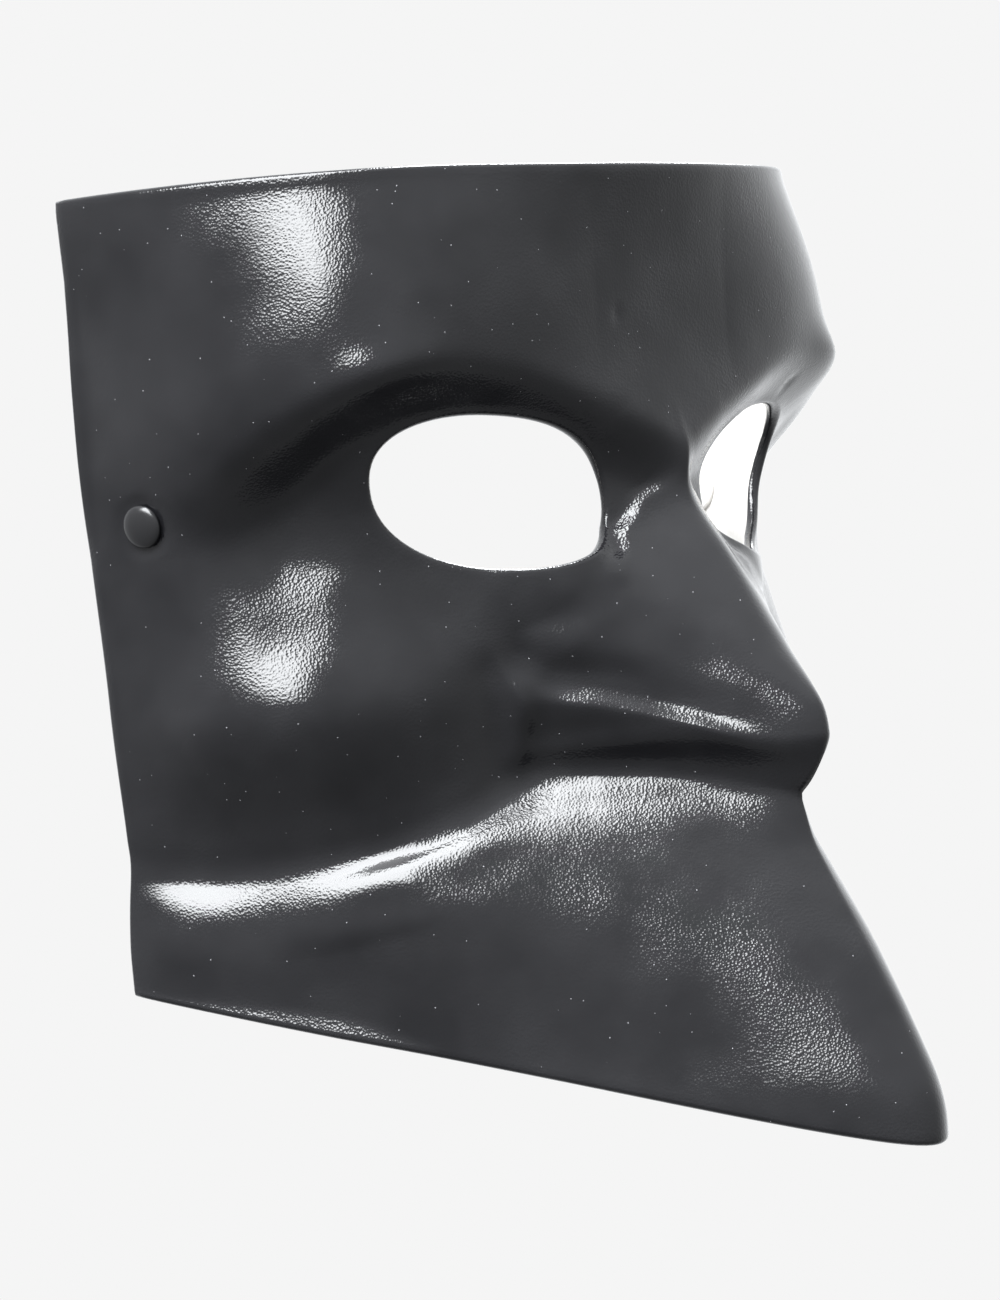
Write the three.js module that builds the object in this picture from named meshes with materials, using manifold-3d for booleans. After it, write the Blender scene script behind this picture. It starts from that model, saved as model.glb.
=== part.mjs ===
// A bauta mask: a thin papier-mache shell with a jutting jaw, lying on its back edges.
// Millimetres, +Z up. +X is the wearer's left, +Y runs up the face, +Z comes out of the face.
import * as THREE from 'three';
import { mergeVertices } from 'three/addons/utils/BufferGeometryUtils.js';
import Module from 'manifold-3d';

const wasm = await Module();
wasm.setup();

// The main sizes of the mask
const HEIGHT = 194;        // top edge to the tip of the chin
const WIDTH = 174;         // across the two back edges
const FACE_DEPTH = 77;     // back edges to the front of the face at eye level
const NOSE_DEPTH = 111;    // back edges to the tip of the nose
const JAW_DEPTH = 138;     // back edges to the foremost point of the jaw, carried down past its rim
const WALL = 2.4;
const RIM_SLOPE = 0.306;  // how far the lower rim drops for each millimetre towards the front

// The eye holes
const EYE_SPACING = 74.5;  // between their middles, straight across
const EYE_WIDTH = 47.4;    // along the curve of the face
const EYE_HEIGHT = 29.5;
const EYE_TILT = 6.2;     // degrees by which the inner corner lies lower
const EYE_SQUARENESS = 2.25;

// The carving, each as the height of the form above the plain face
const BROW_RISE = 5.63;
const BROW_ROLL = 2.67;
const SOCKET_DEPTH = 4.89;
const CHEEK_RISE = 6.27;
const NASAL_RISE = 5.5;
const WING_RISE = 3;
const WING_DENT = 2.3;
const CREASE_BEVEL = 5.5;  // how far the face and jaw are drawn in where they meet
const CREASE_ROUND = 1.11;
const NOSE_FOOT_ROUND = 4.5;

// The rivets that hold the two ends of a cord
const RIVET_HEAD = 8.4;
const RIVET_DOME = 1.7;
const RIVET_EDGE = 0.35;   // the straight edge under the dome
const RIVET_SHANK = 2.6;
const RIVET_FOOT = 7.4;
const RIVET_FOOT_THICKNESS = 1;
const RIVET_CLEARANCE = 0.3;
const SEAT_MARGIN = 0.7;   // how far the pressed seat reaches past the rivet's head or foot
const SEAT_DEPTH = 0.45;   // how deep the rivet is pressed into the wall
const RIVET_ANGLE = 80.1;
const RIVET_LEVEL = -0.028;

// Levels on the face are shares of HEIGHT, measured up from the eye line.
// Angles are degrees round the face, 0 at the nose and 90 at the back edges.
const EYE_LEVEL = -0.024;
const BACK_RIM_LEVEL = -0.495;

// Section of the face and the jaw: [level, share of the half width or of the depth, or the power]
const HALF_WIDTHS = [[-0.505, 0.966], [-0.443, 0.968], [-0.371, 0.961], [-0.206, 0.964], [0, 0.989],
  [0.18, 0.991], [0.289, 1.002]];
const FACE_DEPTHS = [[-0.464, 1.019], [-0.371, 0.937], [-0.206, 0.953], [-0.041, 1.003], [0.093, 0.955],
  [0.19, 1], [0.289, 1.062]];
const FACE_POWERS = [[-0.464, 2.87], [-0.206, 1.84], [-0.041, 1.87], [0.093, 2.67], [0.19, 2.59],
  [0.289, 2.11]];
const JAW_DEPTHS = [[-0.727, 1.038], [-0.66, 1.043], [-0.608, 1.011], [-0.51, 0.907], [-0.407, 0.793],
  [-0.34, 0.753]];
const JAW_POWERS = [[-0.727, 1.04], [-0.6, 1.04], [-0.505, 1.13], [-0.43, 1.24], [-0.371, 1.31]];

// The nose is a wedge: [level, share of NOSE_DEPTH], [level, slope of its sides], [level, angle of its edge],
// [level, degrees over which that edge is rounded down] and [level, roundness of the ridge]
const NOSE_RIDGE = [[-0.371, 0.907], [-0.34, 1.01], [-0.299, 1.001], [-0.258, 0.987], [-0.196, 0.903],
  [-0.103, 0.801], [-0.041, 0.721], [0.052, 0.635]];
const NOSE_SLOPE = [[-0.387, 1.16], [-0.285, 1.34], [-0.265, 1.42], [-0.25, 1.37], [-0.23, 1.25],
  [-0.21, 1.16], [-0.19, 1.05], [-0.17, 0.96], [-0.14, 0.9], [-0.1, 1.01], [-0.03, 1.08], [0.052, 1.5]];
const NOSE_EDGE = [[-0.309, 33.8], [-0.247, 34.4], [-0.22, 32.5], [-0.2, 29.9], [-0.17, 25.6],
  [-0.15, 19.8], [-0.13, 16.7], [-0.11, 15.2], [-0.092, 12], [-0.071, 10.9], [-0.053, 8.3], [-0.038, 6.6],
  [-0.026, 3.4], [0.02, 0], [0.09, -4]];
const NOSE_EDGE_WIDTHS = [[-0.25, 9.6], [-0.2, 11.3], [-0.17, 12.7], [-0.15, 10], [-0.13, 7.7],
  [-0.1, 3.4], [-0.05, 3.1], [0, 5.1]];
const NOSE_ROUNDS = [[-0.3, 0.021], [-0.25, 0.029], [-0.2, 0.063], [-0.15, 0.052], [-0.05, 0.036]];

// Lines drawn on the face: [angle, level]
const TOP_EDGE = [[0, 0.297], [20, 0.298], [45, 0.303], [90, 0.306]];
const BROW_LINE = [[0, 0.018], [6.5, 0.042], [19, 0.078], [31, 0.108], [42, 0.112], [52, 0.09],
  [62, 0.048], [72, 0.01], [90, 0.006]];
const CHEEK_LINE = [[0, -0.087], [20, -0.045], [30, -0.032], [45, -0.093], [56, -0.076], [64, -0.069],
  [75, -0.061], [90, -0.098]];
const WING_LINE = [[0, -0.307], [5, -0.301], [10, -0.274], [17, -0.25], [25, -0.237], [29, -0.221],
  [33, -0.235]];
const UNDER_LINE = [[0, -0.288], [5, -0.283], [10, -0.264], [17, -0.246], [25, -0.231], [33, -0.23]];
const CREASE_LINE = [[0, -0.3475], [8, -0.3277], [16, -0.3226], [24, -0.3208], [31, -0.3294],
  [40, -0.3582], [50, -0.3776], [63, -0.3914], [77, -0.3921], [90, -0.3792]];

// How the nostril wing rises along its line, and how gently the cheek comes up out of the socket:
// [angle, share]
const WING_SHARES = [[0, 0], [6, 0.57], [12, 0.8], [17, 0.86], [22, 0.78], [27, 0.18], [33, 0.89]];
const CHEEK_RUN_OUTS = [[0, 0.062], [22, 0.043], [38, 0.103], [90, 0.187]];

// Strength of the socket and of the crease round the face, and how soon the crease fades: [angle, share]
const SOCKET_SHARES = [[0, -0.01], [7, 0.52], [18, 1], [45, 0.66], [62, 1.09], [75, -0.01], [90, -0.01]];
const BEVEL_SHARES = [[0, -0.35], [8, 1.53], [18, 2.28], [28, 2.28], [40, 1.15], [60, 0.52], [80, 0.78],
  [90, 0.21]];
const BEVEL_FADES = [[0, 0.09], [30, 0.058], [50, 0.011], [70, 0.033], [90, 0.026]];

// Where each form swells and fades. Levels, offsets and heights are shares of HEIGHT, angles are degrees.
const BACK_ANGLE = 90;
const FACE_FRONT_ROUND = 0.03;
const JAW_FRONT_ROUND = 0.07;
const CROWN_LEVEL = 0.064;
const CROWN_TURN = 45;
const CROWN_FALL = 0.0013;
const SWELL_UP = 0.125;
const SWELL_DOWN = 0.074;
const SWELL_BACK_RUN = 40;
const ROLL_OFFSET = -0.009;
const ROLL_HEIGHT = 0.031;
const ROLL_ANGLE = 45;
const ROLL_SPREAD = 7.5;
const SOCKET_START = 0.01;
const SOCKET_RUN_IN = 0.099;
const SOCKET_FLOOR_ROUND = 0.1;
const SOCKET_CHEEK_ROUND = 0.25;
const CHEEK_ANGLE = 61.7;
const CHEEK_SPREAD = 21.3;
const CHEEK_LEVEL = -0.206;
const CHEEK_HEIGHT = 0.115;
const NASAL_ANGLE = 16.8;
const NASAL_SPREAD = 11.9;
const NASAL_LEVEL = -0.137;
const NASAL_HEIGHT = 0.061;
const CHEEK_BACK = 88;
const CHEEK_BACK_RUN = 18;
const WING_END = 32;
const WING_END_RUN = 4.1;
const WING_ROUND = 0.021;
const DENT_OFFSET = 0.031;
const DENT_HEIGHT = 0.021;
const DENT_RUN_OUT = 0.062;
const DENT_ANGLE = 21;
const DENT_SPREAD = 12.1;
const RUN_IN = 0.173;
const RUN_IN_LEAD = 3.5;
const RUN_IN_TURN = 6.3;
const BEVEL_HOLD = 0.06;
const CREASE_SETTLE = 0.35;
const FACE_BLEND = 0.018;
const FACE_BLEND_RUN = 0.023;
const JAW_BLEND = 0.039;
const JAW_BLEND_RUN = 0.041;

// The steps across and up over which a normal is measured
const NORMAL_STEP = 0.25;
const NORMAL_RISE = 0.002;

// How often the search for the lower rim and for the eye's angle is repeated
const RIM_SEARCH_STEPS = 30;
const EYE_SEARCH_STEPS = 10;
const EYE_ANGLE_GUESS = 30;

// Where the skin stands steeply, the wall along the radius is held to WALL / LEAST_SQUARENESS
const LEAST_SQUARENESS = 0.62;

const radians = THREE.MathUtils.degToRad;
const degrees = THREE.MathUtils.radToDeg;

// A smooth curve through [place, value] stations, level beyond its ends
function curve(stations, at) {
  const last = stations.length - 1;
  const x = THREE.MathUtils.clamp(at, stations[0][0], stations[last][0]);
  let i = 0;
  while (i < last - 1 && x > stations[i + 1][0]) i += 1;
  const slope = (k) => {
    const before = stations[Math.max(k - 1, 0)];
    const after = stations[Math.min(k + 1, last)];
    return (after[1] - before[1]) / (after[0] - before[0]);
  };
  const [x0, v0] = stations[i];
  const [x1, v1] = stations[i + 1];
  const h = x1 - x0;
  const t = (x - x0) / h;
  const t2 = t * t;
  const t3 = t2 * t;
  return (2 * t3 - 3 * t2 + 1) * v0 + (t3 - 2 * t2 + t) * h * slope(i)
    + (3 * t2 - 2 * t3) * v1 + (t3 - t2) * h * slope(i + 1);
}

// 0 below 0, 1 above 1, and an even S between
function ease(t) {
  const c = THREE.MathUtils.clamp(t, 0, 1);
  return c * c * (3 - 2 * c);
}

// A round hill of height 1
function hill(t) {
  return Math.exp(-t * t);
}

// The larger of two values, with the corner between them rounded
function roundedMax(a, b, round) {
  return 0.5 * (a + b + Math.hypot(a - b, round));
}

// Distance from the middle axis to a rounded-box section of the shell
function section(angle, halfWidth, depth, power, noseRound) {
  const side = Math.hypot(Math.sin(radians(angle)), noseRound) / halfWidth;
  const front = Math.abs(Math.cos(radians(angle))) / depth;
  return (side ** power + front ** power) ** (-1 / power);
}

// Brow, socket, cheek and the swelling beside the nose: what rises above or sinks below the plain face
function browAndCheek(angle, level) {
  const brow = curve(BROW_LINE, angle);
  const crown = Math.max(brow, CROWN_LEVEL - CROWN_FALL * Math.max(angle - CROWN_TURN, 0));
  const swell = level > crown ? hill((level - crown) / SWELL_UP) : 1 - ease((brow - level) / SWELL_DOWN);
  const roll = hill((level - brow - ROLL_OFFSET) / ROLL_HEIGHT) * hill((angle - ROLL_ANGLE) / ROLL_SPREAD);
  const under = ease((brow + SOCKET_START - level) / SOCKET_RUN_IN);
  const down = roundedMax((curve(CHEEK_LINE, angle) - level) / curve(CHEEK_RUN_OUTS, angle), 0,
    SOCKET_FLOOR_ROUND);
  const onCheek = down + 1 - roundedMax(down, 1, SOCKET_CHEEK_ROUND);
  const cheek = hill((angle - CHEEK_ANGLE) / CHEEK_SPREAD) * hill((level - CHEEK_LEVEL) / CHEEK_HEIGHT)
    * ease((CHEEK_BACK - angle) / CHEEK_BACK_RUN);
  const nasal = hill((angle - NASAL_ANGLE) / NASAL_SPREAD) * hill((level - NASAL_LEVEL) / NASAL_HEIGHT);
  return BROW_RISE * swell * ease((BACK_ANGLE - angle) / SWELL_BACK_RUN) + BROW_ROLL * roll
    - SOCKET_DEPTH * curve(SOCKET_SHARES, angle) * under * (1 - onCheek) + CHEEK_RISE * cheek
    + NASAL_RISE * nasal;
}

// The flat sides of the nose, meeting in a rounded ridge and rounded down to the face along their edge
function noseLift(angle, level, faceRadius) {
  const ridgeRound = curve(NOSE_ROUNDS, level);
  const aside = Math.hypot(Math.sin(radians(angle)), ridgeRound) - ridgeRound;
  const ridge = NOSE_DEPTH * curve(NOSE_RIDGE, level);
  const slab = ridge / (Math.cos(radians(angle)) + curve(NOSE_SLOPE, level) * aside);
  const shoulder = ease((curve(NOSE_EDGE, level) - angle) / curve(NOSE_EDGE_WIDTHS, level) + 0.5);
  return (roundedMax(slab, faceRadius, NOSE_FOOT_ROUND) - faceRadius) * shoulder;
}

// The roll of the nostril wing, with the dent above it
function wing(angle, level) {
  const above = level - curve(WING_LINE, angle);
  const rise = WING_RISE * curve(WING_SHARES, angle) * ease((WING_END - angle) / WING_END_RUN);
  const offDent = above - DENT_OFFSET;
  const dent = hill(offDent / (offDent > 0 ? DENT_HEIGHT : DENT_RUN_OUT))
    * hill((angle - DENT_ANGLE) / DENT_SPREAD);
  return rise * (1 - ease(above / WING_ROUND)) - WING_DENT * dent;
}

function faceRadius(angle, level) {
  const plain = section(angle, WIDTH / 2 * curve(HALF_WIDTHS, level), FACE_DEPTH * curve(FACE_DEPTHS, level),
    curve(FACE_POWERS, level), FACE_FRONT_ROUND) + browAndCheek(angle, level);
  return plain + noseLift(angle, level, plain) + wing(angle, level);
}

function jawRadius(angle, level) {
  return section(angle, WIDTH / 2 * curve(HALF_WIDTHS, level), JAW_DEPTH * curve(JAW_DEPTHS, level),
    curve(JAW_POWERS, level), JAW_FRONT_ROUND);
}

// The line above the crease from which the face runs down into it
function runInLevel(angle) {
  const side = ease((angle - WING_END + RUN_IN_LEAD) / RUN_IN_TURN);
  return curve(UNDER_LINE, angle) * (1 - side) + (curve(CREASE_LINE, angle) + RUN_IN) * side;
}

// Radius of the outer skin: the face above the crease, the jaw below it
function skinRadius(signedAngle, level) {
  const angle = Math.abs(signedAngle);
  const crease = curve(CREASE_LINE, angle);
  const bevel = CREASE_BEVEL * curve(BEVEL_SHARES, angle);
  const below = crease - level;
  const bevelHere = bevel * Math.exp(-Math.max(below, -BEVEL_HOLD) / curve(BEVEL_FADES, angle));
  const lower = jawRadius(angle, level) - bevelHere;
  const start = runInLevel(angle);
  const valley = jawRadius(angle, crease) - bevel;
  const upper = faceRadius(angle, level)
    + (valley - faceRadius(angle, crease)) * ease((start - level) / (start - crease));
  const joined = roundedMax(upper, lower, CREASE_ROUND) - CREASE_SETTLE * CREASE_ROUND;
  const onFace = ease((-below - FACE_BLEND) / FACE_BLEND_RUN);
  const onJaw = ease((below - JAW_BLEND) / JAW_BLEND_RUN);
  const near = joined * (1 - onFace) + upper * onFace;
  return near * (1 - onJaw) + lower * onJaw;
}

function skinPoint(angle, level, sunk = 0) {
  const r = skinRadius(angle, level) - sunk;
  return new THREE.Vector3(r * Math.sin(radians(angle)), level * HEIGHT, r * Math.cos(radians(angle)));
}

// The outward normal of the skin, from the two tangents at a place
function skinNormal(angle, level) {
  const across = skinPoint(angle + NORMAL_STEP, level).sub(skinPoint(angle - NORMAL_STEP, level));
  const up = skinPoint(angle, level + NORMAL_RISE).sub(skinPoint(angle, level - NORMAL_RISE));
  return across.cross(up).normalize();
}

// The inner skin lies one wall behind the outer one, measured along the radius
function wallAlongRadius(angle, level) {
  const outward = new THREE.Vector3(Math.sin(radians(angle)), 0, Math.cos(radians(angle)));
  const squareness = skinNormal(angle, level).dot(outward);
  return WALL / Math.max(squareness, LEAST_SQUARENESS);
}

// The lower rim is one slanting plane, so its level is found by stepping towards it
function lowerRimLevel(angle) {
  let level = BACK_RIM_LEVEL;
  for (let i = 0; i < RIM_SEARCH_STEPS; i += 1) {
    const front = skinRadius(angle, level) * Math.cos(radians(angle));
    level = BACK_RIM_LEVEL - RIM_SLOPE * front / HEIGHT;
  }
  return level;
}

// The angle at which the eye holes' middles lie EYE_SPACING apart
function eyeAngle() {
  let angle = EYE_ANGLE_GUESS;
  for (let i = 0; i < EYE_SEARCH_STEPS; i += 1) {
    angle = degrees(Math.asin(EYE_SPACING / 2 / skinRadius(angle, EYE_LEVEL)));
  }
  return angle;
}

const EYE_ANGLE = eyeAngle();
const EYE_HALF_ANGLE = degrees(EYE_WIDTH / 2 / skinRadius(EYE_ANGLE, EYE_LEVEL));
const EYE_HALF_LEVEL = EYE_HEIGHT / 2 / HEIGHT;

// The grid that both skins share. An eye hole is a block of it, drawn out to the hole's oval.
const COLUMNS_TO_EYE = 6;
const COLUMNS_OVER_EYE = 10;
const COLUMNS_TO_BACK = 9;
const ROWS_TO_CREASE = 9;
const ROWS_TO_RUN_IN = 5;
const ROWS_TO_EYE = 7;
const ROWS_OVER_EYE = 8;
const ROWS_TO_TOP = 10;
const EYE_BLOCK_SHARE = 0.86;
const DRAW_REACH = 1.8;    // the grid is drawn towards the oval up to this many half blocks away
const BLOCK_ANGLE = EYE_HALF_ANGLE * EYE_BLOCK_SHARE;
const BLOCK_LEVEL = EYE_HALF_LEVEL * EYE_BLOCK_SHARE;

// Evenly spaced places from a to b, without b
function steps(a, b, count) {
  return Array.from({ length: count }, (_, i) => a + (b - a) * i / count);
}

function columnAngles() {
  const half = [
    ...steps(0, EYE_ANGLE - BLOCK_ANGLE, COLUMNS_TO_EYE),
    ...steps(EYE_ANGLE - BLOCK_ANGLE, EYE_ANGLE + BLOCK_ANGLE, COLUMNS_OVER_EYE),
    ...steps(EYE_ANGLE + BLOCK_ANGLE, BACK_ANGLE, COLUMNS_TO_BACK),
    BACK_ANGLE,
  ];
  return [...half.slice(1).reverse().map((a) => -a), ...half];
}

function rowLevels(signedAngle) {
  const angle = Math.abs(signedAngle);
  const eyeLow = EYE_LEVEL - BLOCK_LEVEL;
  const eyeHigh = EYE_LEVEL + BLOCK_LEVEL;
  const top = curve(TOP_EDGE, angle);
  return [
    ...steps(lowerRimLevel(angle), curve(CREASE_LINE, angle), ROWS_TO_CREASE),
    ...steps(curve(CREASE_LINE, angle), runInLevel(angle), ROWS_TO_RUN_IN),
    ...steps(runInLevel(angle), eyeLow, ROWS_TO_EYE),
    ...steps(eyeLow, eyeHigh, ROWS_OVER_EYE),
    ...steps(eyeHigh, top, ROWS_TO_TOP),
    top,
  ];
}

// The outline of an eye hole in a direction from its middle, as [angle, level] steps
function eyeOutline(direction) {
  const c = Math.cos(direction);
  const s = Math.sin(direction);
  const reach = (Math.abs(c) ** EYE_SQUARENESS + Math.abs(s) ** EYE_SQUARENESS) ** (-1 / EYE_SQUARENESS);
  const along = reach * c * EYE_HALF_ANGLE;
  const lean = along * Math.tan(radians(EYE_TILT)) / EYE_HALF_ANGLE * (EYE_WIDTH / 2) / HEIGHT;
  return [along, reach * s * EYE_HALF_LEVEL + lean];
}

// Draws the grid near an eye out to the oval. The pull fades away before the next form.
function drawnToEye(signedAngle, level) {
  const side = signedAngle < 0 ? -1 : 1;
  const across = (Math.abs(signedAngle) - EYE_ANGLE) / BLOCK_ANGLE;
  const up = (level - EYE_LEVEL) / BLOCK_LEVEL;
  const ring = Math.max(Math.abs(across), Math.abs(up));
  const room = (across < 0 ? EYE_ANGLE : BACK_ANGLE - EYE_ANGLE) / BLOCK_ANGLE;
  const fadeEnd = Math.abs(across) >= Math.abs(up) ? Math.min(DRAW_REACH, room) : DRAW_REACH;
  if (ring === 0 || ring >= fadeEnd) return [signedAngle, level];
  const fade = ease((ring - 1) / (fadeEnd - 1));
  const [outlineAngle, outlineLevel] = eyeOutline(Math.atan2(up, across));
  const angle = EYE_ANGLE + (1 - fade) * outlineAngle * ring + fade * across * BLOCK_ANGLE;
  const drawnLevel = EYE_LEVEL + (1 - fade) * outlineLevel * ring + fade * up * BLOCK_LEVEL;
  return [side * angle, drawnLevel];
}

// One closed body: outer skin, inner skin and a strip of wall round every free edge
function shellGeometry() {
  const angles = columnAngles();
  const levels = angles.map((angle) => rowLevels(angle));
  const columns = angles.length;
  const rows = levels[0].length;
  const positions = [];
  const grid = { outer: [], inner: [] };
  angles.forEach((columnAngle, i) => {
    levels[i].forEach((columnLevel) => {
      const [angle, level] = drawnToEye(columnAngle, columnLevel);
      grid.outer.push(positions.length / 3);
      positions.push(...skinPoint(angle, level).toArray());
      grid.inner.push(positions.length / 3);
      positions.push(...skinPoint(angle, level, wallAlongRadius(angle, level)).toArray());
    });
  });

  const blockLow = ROWS_TO_CREASE + ROWS_TO_RUN_IN + ROWS_TO_EYE;
  const middleColumn = (columns - 1) / 2;
  const isOpen = (i, j) => {
    if (i < 0 || j < 0 || i >= columns - 1 || j >= rows - 1) return true;
    const fromMiddle = i >= middleColumn ? i - middleColumn : middleColumn - 1 - i;
    const overEye = fromMiddle >= COLUMNS_TO_EYE && fromMiddle < COLUMNS_TO_EYE + COLUMNS_OVER_EYE;
    return overEye && j >= blockLow && j < blockLow + ROWS_OVER_EYE;
  };

  const indices = [];
  const quad = (a, b, c, d) => indices.push(a, b, c, a, c, d);
  const outer = (i, j) => grid.outer[i * rows + j];
  const inner = (i, j) => grid.inner[i * rows + j];
  const wall = (i0, j0, i1, j1) => quad(outer(i1, j1), outer(i0, j0), inner(i0, j0), inner(i1, j1));
  for (let i = 0; i < columns - 1; i += 1) {
    for (let j = 0; j < rows - 1; j += 1) {
      if (isOpen(i, j)) continue;
      quad(outer(i, j), outer(i + 1, j), outer(i + 1, j + 1), outer(i, j + 1));
      quad(inner(i, j), inner(i, j + 1), inner(i + 1, j + 1), inner(i + 1, j));
      if (isOpen(i, j - 1)) wall(i, j, i + 1, j);
      if (isOpen(i + 1, j)) wall(i + 1, j, i + 1, j + 1);
      if (isOpen(i, j + 1)) wall(i + 1, j + 1, i, j + 1);
      if (isOpen(i - 1, j)) wall(i, j + 1, i, j);
    }
  }
  const geometry = new THREE.BufferGeometry();
  geometry.setAttribute('position', new THREE.Float32BufferAttribute(positions, 3));
  geometry.setIndex(indices);
  return geometry;
}

// Corners closer together than this are one corner
const MERGE_DISTANCE = 1e-5;

function toManifold(geometry) {
  const bare = geometry.index ? geometry.clone() : geometry.toNonIndexed();
  bare.deleteAttribute('normal');
  bare.deleteAttribute('uv');
  const merged = mergeVertices(bare, MERGE_DISTANCE);
  return new wasm.Manifold(new wasm.Mesh({
    numProp: 3,
    vertProperties: new Float32Array(merged.attributes.position.array),
    triVerts: new Uint32Array(merged.index.array),
  }));
}

function fromManifold(solid) {
  const mesh = solid.getMesh();
  const geometry = new THREE.BufferGeometry();
  geometry.setAttribute('position', new THREE.Float32BufferAttribute(mesh.vertProperties, 3));
  geometry.setIndex(new THREE.Uint32BufferAttribute(mesh.triVerts, 1));
  return geometry;
}

// A rivet's place: its middle on the skin, with its own +Z along the outward normal
function rivetPlace(side) {
  const place = new THREE.Object3D();
  place.position.copy(skinPoint(side * RIVET_ANGLE, RIVET_LEVEL));
  const outward = skinNormal(side * RIVET_ANGLE, RIVET_LEVEL);
  place.quaternion.setFromUnitVectors(new THREE.Vector3(0, 0, 1), outward);
  place.updateMatrix();
  return place;
}

// A round tool along the rivet's own axis, between two heights
function roundCutter(radius, low, high, place) {
  const cutter = new THREE.CylinderGeometry(radius, radius, high - low, CUT_SIDES);
  cutter.rotateX(Math.PI / 2);
  cutter.translate(0, 0, (low + high) / 2);
  cutter.applyMatrix4(place.matrix);
  return toManifold(cutter);
}

// Each rivet passes through a hole and sits in a flat seat pressed into both faces of the wall
const OUTER_SEAT = -SEAT_DEPTH;
const INNER_SEAT = -WALL + SEAT_DEPTH;
const CUT_REACH = 3;
const CUT_SIDES = 32;
const RIVET_SIDES = 20;
const DOME_STEPS = 4;

function drillForRivet(shell, side) {
  const place = rivetPlace(side);
  const outerSeat = roundCutter(RIVET_HEAD / 2 + SEAT_MARGIN, OUTER_SEAT, OUTER_SEAT + CUT_REACH, place);
  const innerSeat = roundCutter(RIVET_FOOT / 2 + SEAT_MARGIN, INNER_SEAT - CUT_REACH, INNER_SEAT, place);
  const holeRadius = RIVET_SHANK / 2 + RIVET_CLEARANCE;
  const hole = roundCutter(holeRadius, INNER_SEAT - CUT_REACH, OUTER_SEAT + CUT_REACH, place);
  return shell.subtract(outerSeat).subtract(innerSeat).subtract(hole);
}

function rivetGeometry() {
  const under = OUTER_SEAT + RIVET_CLEARANCE;
  const foot = INNER_SEAT - RIVET_CLEARANCE;
  const headRadius = RIVET_HEAD / 2;
  const profile = [
    new THREE.Vector2(0, foot - RIVET_FOOT_THICKNESS),
    new THREE.Vector2(RIVET_FOOT / 2, foot - RIVET_FOOT_THICKNESS),
    new THREE.Vector2(RIVET_FOOT / 2, foot),
    new THREE.Vector2(RIVET_SHANK / 2, foot),
    new THREE.Vector2(RIVET_SHANK / 2, under),
    new THREE.Vector2(headRadius, under),
  ];
  const domeFoot = under + RIVET_EDGE;
  const domeRise = RIVET_DOME - RIVET_EDGE;
  for (let i = 0; i < DOME_STEPS; i += 1) {
    const turn = Math.PI / 2 * i / DOME_STEPS;
    profile.push(new THREE.Vector2(headRadius * Math.cos(turn), domeFoot + domeRise * Math.sin(turn)));
  }
  profile.push(new THREE.Vector2(0, domeFoot + domeRise));
  const lathe = new THREE.LatheGeometry(profile, RIVET_SIDES);
  lathe.rotateX(Math.PI / 2);
  return lathe;
}

const paperBlack = new THREE.MeshStandardMaterial({ color: 0x1c1c1f, roughness: 0.32, metalness: 0 });
const rivetBlack = new THREE.MeshStandardMaterial({ color: 0x1a1a1c, roughness: 0.3, metalness: 0 });
const SIDES = { right: -1, left: 1 };

function maskShell() {
  let shell = toManifold(shellGeometry());
  for (const side of Object.values(SIDES)) shell = drillForRivet(shell, side);
  const mesh = new THREE.Mesh(fromManifold(shell), paperBlack);
  mesh.name = 'mask_shell';
  return mesh;
}

function rivet(sideName) {
  const mesh = new THREE.Mesh(rivetGeometry(), rivetBlack);
  const place = rivetPlace(SIDES[sideName]);
  mesh.position.copy(place.position);
  mesh.quaternion.copy(place.quaternion);
  mesh.name = `rivet_${sideName}`;
  return mesh;
}

// The mask stands over the middle of its own length and width, on its back edges
function bauta() {
  const mask = new THREE.Group();
  mask.add(maskShell());
  for (const sideName of Object.keys(SIDES)) mask.add(rivet(sideName));
  const box = new THREE.Box3().setFromObject(mask);
  const middle = box.getCenter(new THREE.Vector3());
  mask.position.set(-middle.x, -middle.y, 0);
  return mask;
}

export default bauta();
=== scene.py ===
"""A bauta mask of black papier-mache, lying on its back edges, seen from its front right."""
import math

import bpy
import numpy as np
from mathutils import Matrix, Vector


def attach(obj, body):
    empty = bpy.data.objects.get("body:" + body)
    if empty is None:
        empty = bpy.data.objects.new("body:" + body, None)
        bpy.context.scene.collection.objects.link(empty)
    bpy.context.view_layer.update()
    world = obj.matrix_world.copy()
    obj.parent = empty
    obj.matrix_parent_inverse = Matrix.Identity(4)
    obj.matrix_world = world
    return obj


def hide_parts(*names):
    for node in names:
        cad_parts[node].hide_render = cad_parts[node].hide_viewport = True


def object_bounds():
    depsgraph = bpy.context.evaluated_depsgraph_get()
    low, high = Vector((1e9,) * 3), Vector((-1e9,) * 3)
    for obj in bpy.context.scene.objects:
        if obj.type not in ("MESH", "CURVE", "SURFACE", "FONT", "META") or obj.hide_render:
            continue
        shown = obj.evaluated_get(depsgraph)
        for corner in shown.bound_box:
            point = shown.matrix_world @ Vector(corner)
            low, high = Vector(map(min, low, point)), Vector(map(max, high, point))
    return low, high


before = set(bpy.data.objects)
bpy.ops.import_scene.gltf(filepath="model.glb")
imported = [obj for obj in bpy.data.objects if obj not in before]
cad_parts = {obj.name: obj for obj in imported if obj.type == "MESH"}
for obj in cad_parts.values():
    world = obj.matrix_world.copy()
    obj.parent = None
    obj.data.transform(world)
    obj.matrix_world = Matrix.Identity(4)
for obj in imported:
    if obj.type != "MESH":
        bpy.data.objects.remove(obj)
cad_low, cad_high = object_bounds()

MM = 0.001

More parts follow.
